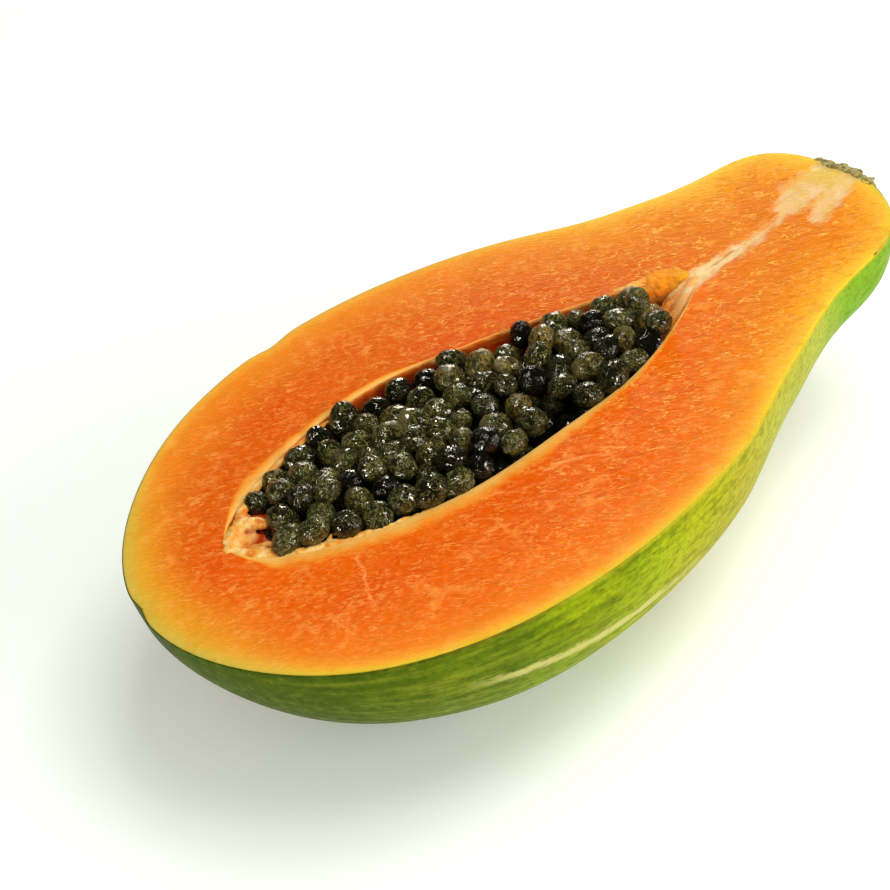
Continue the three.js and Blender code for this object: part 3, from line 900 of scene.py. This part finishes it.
seedMaterial = makeSeedMaterial()
draw = randomSource(seedForm["draw"])
upper = settledSeeds(draw, seedForm["count"], 0)
topSeeds = seedPiece("topSeeds", upper, draw, 4, 1.0, seedMaterial)
draw = randomSource(seedForm["lowerDraw"])
lower = settledSeeds(draw, seedForm["lowerCount"], seedForm["lowerDrop"])
# the lower seeds get low numbers, so most take the near-black kernel tone: painted shade in the
# gaps under the top layer, over the dark seeds' own colour
lowerSeeds = seedPiece("lowerSeeds", lower, draw, 3, 0.35, seedMaterial)
print("seeds made,", len(topSeeds.data.polygons), len(lowerSeeds.data.polygons), "faces")

# Soft bits are made of overlapping lumps strung along lines and fused into one body. Each place
# on a line has its x, y, z and the radius there.
pulpForm = {
    "voxel": 0.3, "rough": 0.16, "every": 0.6, "draw": 11, "wander": 0.25, "stretch": (1.5, 1, 0.8),
    "lines": [
        [(25.2, 0.4, -0.6, 0.8), (26, -1.4, -0.5, 0.8), (28.2, -3.6, -0.5, 0.8),
         (31.2, -5.8, -0.5, 0.7), (34.6, -7.8, -0.6, 0.6)],
        [(25.4, 0, -0.6, 0.8), (24, 2.4, -0.6, 1.2), (25.6, 5, -0.6, 1.5), (28.4, 7.6, -0.7, 1.5),
         (31.2, 9.2, -0.9, 1.2)],
        [(29.2, 8.2, -0.6, 1.4), (31.8, 6.4, -0.4, 1.4), (33.4, 4, -0.6, 1.2)],
        [(25.2, 0.3, -0.7, 0.9), (28.2, -2, -0.5, 1), (31.2, -4.4, -0.7, 0.9),
         (34.4, -6.8, -0.9, 0.8)],
        [(25.6, 2.2, -2.4, 1.8), (28.6, 3.6, -3, 2.4), (31.6, 4, -4.2, 2.4), (33, 1, -5, 2.4)],
        [(28, 6.8, -2.8, 2), (31.5, 8.4, -3.6, 2.2), (34.5, 11.5, -4.4, 2)],
        [(28.6, 0.4, -1.6, 1), (31, -0.8, -1.4, 1.1), (32.4, -1.8, -1.9, 0.8)],
        [(33, -7, -0.9, 0.8), (38, -10, -0.8, 1), (43, -12, -0.8, 1), (49, -14, -0.9, 0.9),
         (56, -16.2, -0.9, 0.8), (63, -17.6, -1, 0.6), (70, -18.6, -1.1, 0.4)],
        [(36, -8.6, -1.6, 0.7), (42, -11, -1.5, 0.8), (50, -13.4, -1.8, 0.7),
         (58, -16, -1.9, 0.5)],
        [(42.4, -10.6, -0.6, 0.7), (43.6, -10.2, 0.1, 0.5), (44.6, -10, 0.3, 0.3)],
        [(29, 8.4, -0.6, 1), (32, 12, -0.6, 1), (37, 16, -0.7, 1), (43.5, 19.2, -0.8, 0.9),
         (50.5, 21.8, -0.9, 0.8), (58, 24, -1.1, 0.6), (64, 25.2, -1.3, 0.4)],
        [(93.5, 24.6, -0.9, 0.6), (97.5, 24.2, -0.8, 0.8), (101, 23.8, -1.2, 0.5)],
        [(104, 23, -1, 0.6), (108.5, 22.2, -1.2, 0.5)],
    ],
}
foldForm = {
    "voxel": 0.35, "rough": 0.2, "top": 0.5, "every": 0.6, "draw": 5, "wander": 0.5,
    "stretch": (1.3, 1, 1),
    "lines": [
        [(134.6, 13, -0.9, 1.1), (139.4, 11.6, -0.8, 1.4), (142.8, 10.8, -0.7, 1.7),
         (145.8, 9.6, -0.6, 1.9), (148.4, 7.8, -0.6, 1.6), (149.6, 6.4, -0.8, 1.3)],
        [(134.6, 12.2, -1.9, 1.2), (140.4, 10.2, -1.9, 1.8), (144.4, 8.8, -1.9, 2),
         (147.6, 7, -1.4, 1.7), (149.4, 5.8, -1.1, 1.6)],
        [(131, 13.6, -3.2, 1.4), (136.5, 11.2, -3.4, 2), (140.4, 9.6, -3.7, 2.4),
         (143.4, 8, -3.8, 2.4), (146.4, 6.4, -3.6, 2.2), (149.4, 5.6, -3, 1.8)],
    ],
}
coreForm = {
    "voxel": 0.3, "rough": 0.1, "every": 0.5, "draw": 8, "wander": 0.3, "stretch": (1.8, 0.9, 0.9),
    "lines": [
        [(150, 3.4, -0.5, 0.9), (146, 0.8, -0.8, 1.2), (142, -1.8, -1.1, 1.3),
         (138, -4.4, -1.6, 1.2), (134, -7, -2.2, 0.8)],
        [(149.4, 4.6, -0.7, 1), (145, 2.6, -1.3, 1.4), (141.2, 0.4, -1.9, 1.4),
         (138, -2.4, -2.8, 1.2)],
        [(148.2, 1.2, -1, 0.8), (144.2, -1.2, -1.2, 1), (140.2, -3.8, -1.6, 1),
         (136, -6.4, -2.2, 0.8)],
        [(147, 4.6, -2.4, 1.4), (142.4, 2.8, -3.4, 1.6), (139, 0.4, -4.6, 1.6)],
    ],
}
scarForm = {
    "voxel": 0.3, "rough": 0.25, "top": 0.1, "draw": 3,
    "centre": 9.6,  # how far toward the far side
    "radius": 8.2, "lump": 0.5, "count": 90,
    "ring": (-2, 186, 5),  # the row of lumps round its edge: from, to and every so many degrees
    "torn": 0.63,  # how far that row strays in and out
    "rim": (2, 16.4, 0.8),  # the row along the cut: from, to and every so many mm
    "thornAt": 2.6,
    "thorn": [(-0.3, 0.8), (0.4, 0.65), (1, 0.5), (1.5, 0.35)],  # how far out, and radius
}


def fusedShape(name, lumps, form):
    mesh = bmesh.new()
    for centre, radius, stretch in lumps:
        place = Matrix.Translation(centre) @ Matrix.Diagonal((*(radius * np.array(stretch)), 1))
        bmesh.ops.create_icosphere(mesh, subdivisions=2, radius=1, matrix=place)
    base = bpy.data.meshes.new(name)
    mesh.to_mesh(base)
    mesh.free()
    holder = placeObject(name + "Lumps", base)
    fuse = holder.modifiers.new("fuse", "REMESH")
    fuse.mode, fuse.voxel_size = "VOXEL", form["voxel"]
    seen = holder.evaluated_get(bpy.context.evaluated_depsgraph_get())
    fused = bpy.data.meshes.new_from_object(seen)
    bpy.data.objects.remove(holder)
    mesh = bmesh.new()
    mesh.from_mesh(fused)
    for _ in range(2):
        bmesh.ops.smooth_vert(mesh, verts=mesh.verts, factor=0.5, use_axis_x=True,
                              use_axis_y=True, use_axis_z=True)
    mesh.normal_update()
    top = form.get("top", math.inf)
    for vert in mesh.verts:  # a grain of 1.1 mm with a finer one of 0.5 mm
        push = noise.noise(vert.co / 1.1) + 0.6 * noise.noise(vert.co / 0.5)
        vert.co += vert.normal * push * form["rough"]
        if vert.co.z > top:
            vert.co.z = top + 0.25 * noise.noise(vert.co / 1.3) + 0.12 * noise.noise(vert.co)
    points = np.array([vert.co for vert in mesh.verts])
    faces = [[vert.index for vert in face.verts] for face in mesh.faces]
    mesh.free()
    return points, faces


def strungLumps(form):
    random = randomSource(form["draw"])
    for line in form["lines"]:
        line = np.array(line, float)
        steps = np.linalg.norm(np.diff(line[:, :3], axis=0), axis=1)
        run = np.concatenate([[0], np.cumsum(steps)])
        for at in np.arange(0, run[-1], form["every"]):
            *centre, radius = (np.interp(at, run, line[:, k]) for k in range(4))
            wander = np.array([next(random) - 0.5 for _ in range(3)]) * radius * form["wander"]
            size = radius * (0.82 + 0.34 * next(random))
            yield Vector(np.array(centre) + wander), size, form["stretch"]


pulpLook = {"cream": "#eaa64a", "pale": "#f6ca80", "orange": "#e2781c", "deep": "#c8420a"}


# Soft placenta and torn fibres on the edge of the hollow: pale cream to orange, wet, see-through.
def makePulpMaterial():
    add, finish, grow = startMaterial("wetPlacentaPulp")
    blend = add("TexNoise", (grow, 0.4, 3))
    colour = add("ValToRGB", [blend], stops=[
        (0.32, pulpLook["orange"]), (0.47, pulpLook["cream"]), (0.66, pulpLook["pale"])])
    height = add("SeparateXYZ", [grow]).outputs["Z"]
    # deep red-orange towards the bottom: partly the flesh's own colour between the lumps, partly
    # painted shade in the hollow
    colour = layTones(add, colour, [
        (pulpLook["deep"], (height, cutHeight - 0.6, cutHeight - 1.9, smooth))])
    fine = add("TexNoise", (grow, 1.6, 3))
    bump = add("Bump", {"Height": fine, "Strength": 0.5, "Distance": 0.0003})
    return finish({
        "Base Color": colour, "Normal": bump, "Roughness": 0.35, "Specular IOR Level": 0.15,
        "Subsurface Weight": 0.3, "Subsurface Radius": (1, 0.5, 0.25), "Subsurface Scale": 0.001,
        "Coat Weight": 0.15, "Coat Roughness": 0.1})


scarLook = {"cork": "#9a8850", "light": "#c0ac6e", "dark": "#5e5028"}


# Dry corky scar where the stalk came off: matt, cracked, grey-brown with an olive cast.
def makeScarMaterial():
    add, finish, grow = startMaterial("dryStemCork")
    blend = add("TexNoise", (grow, 0.9, 5, 0.65))
    colour = add("ValToRGB", [blend], stops=[
        (0.34, scarLook["dark"]), (0.48, scarLook["cork"]), (0.64, scarLook["light"])])
    bump = add("Bump", {"Height": blend, "Strength": 0.8, "Distance": 0.0005})
    return finish({
        "Base Color": colour, "Normal": bump, "Roughness": 0.8, "Specular IOR Level": 0.2})


def onNeckEnd(out, angle):
    y, z = scarForm["centre"] + out * math.cos(angle), -out * math.sin(angle)
    x = np.linspace(fruitForm["length"] - 14, fruitForm["length"], 200)
    fromAxis = math.hypot(y - axisOffset(x[-1]), z / fruitForm["neckRoundness"])
    return Vector((slanted(np.interp(fromAxis, halfWidth(x)[::-1], x[::-1]), y), y, z))


def scarLumps():
    form = scarForm
    random = randomSource(form["draw"])
    for degrees in range(*form["ring"]):
        angle = math.radians(degrees)
        torn = form["torn"] * (math.sin(1 - 5 * angle) - 0.6 * math.sin(9 * angle))
        centre = onNeckEnd(form["radius"] + torn, angle)
        centre.x += 0.8 * next(random) - 0.5
        yield centre, form["lump"] * (0.7 + 0.9 * next(random)), (1.2, 1, 1)
    for _ in range(form["count"]):
        angle, out = math.pi * next(random), form["radius"] * math.sqrt(next(random))
        place = onNeckEnd(out, angle) - Vector((0.3, 0, 0))
        yield place, 0.7 + 0.7 * next(random), (1, 1.3, 1.3)
    for y in np.arange(*form["rim"]):
        place = onNeckEnd(y - form["centre"], 0) + Vector((0, 0, -0.6))
        place.x += 0.6 * next(random) - 0.9
        yield place, 0.9 + 0.4 * next(random), (1.2, 1.2, 0.9)
    for out, radius in form["thorn"]:
        place = onNeckEnd(form["thornAt"] - form["centre"], 0) + Vector((out, 0, -0.4))
        yield place, radius, (1.2, 1, 1)


points, faces = fusedShape("pulp", strungLumps(pulpForm), pulpForm)
pulp = makePiece("pulp", points, faces, makePulpMaterial(), {})
points, faces = fusedShape("neckFold", strungLumps(foldForm), foldForm)
# the fold's underside takes the darker red lining tones: painted shade under the fold
under = 1 - smoothStep(points[:, 2], -2.0, -0.8)
neckFold = makePiece("neckFold", points, faces, fleshMaterial, {
    "rimDistance": 20 - 22 * under, "skinDistance": 3.4, "redness": under,
    "bandShare": 0.1 + 0.9 * smoothStep(points[:, 0], 136, 147) + 1.5 * under,
    "paleDistance": 9, "farSide": 1, "veinDistance": np.full((len(points), 3), 9)})
points, faces = fusedShape("neckCore", strungLumps(coreForm), coreForm)
neckCore = makePiece("neckCore", points, faces, fleshMaterial, {
    "rimDistance": 9, "skinDistance": 9, "redness": 0, "bandShare": 3, "farSide": 0,
    "paleDistance": 1.1 - 1.7 * smoothStep(points[:, 2], -3, -0.8),
    "veinDistance": np.full((len(points), 3), 9)})
points, faces = fusedShape("stemScar", scarLumps(), scarForm)
stemScar = makePiece("stemScar", points, faces, makeScarMaterial(), {})
print("pulp, fold and scar made,", len(pulp.data.polygons), "faces in the pulp")

for piece, slot, node in ((flesh, "flesh", "fruit"), (skin, "skin", "fruit"),
                          (topSeeds, "seed", "seeds"), (lowerSeeds, "seed", "seeds"),
                          (pulp, "flesh", "fruit"), (neckFold, "flesh", "fruit"),
                          (neckCore, "flesh", "fruit"), (stemScar, "skin", "fruit")):
    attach(piece, "root")
    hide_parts(node)
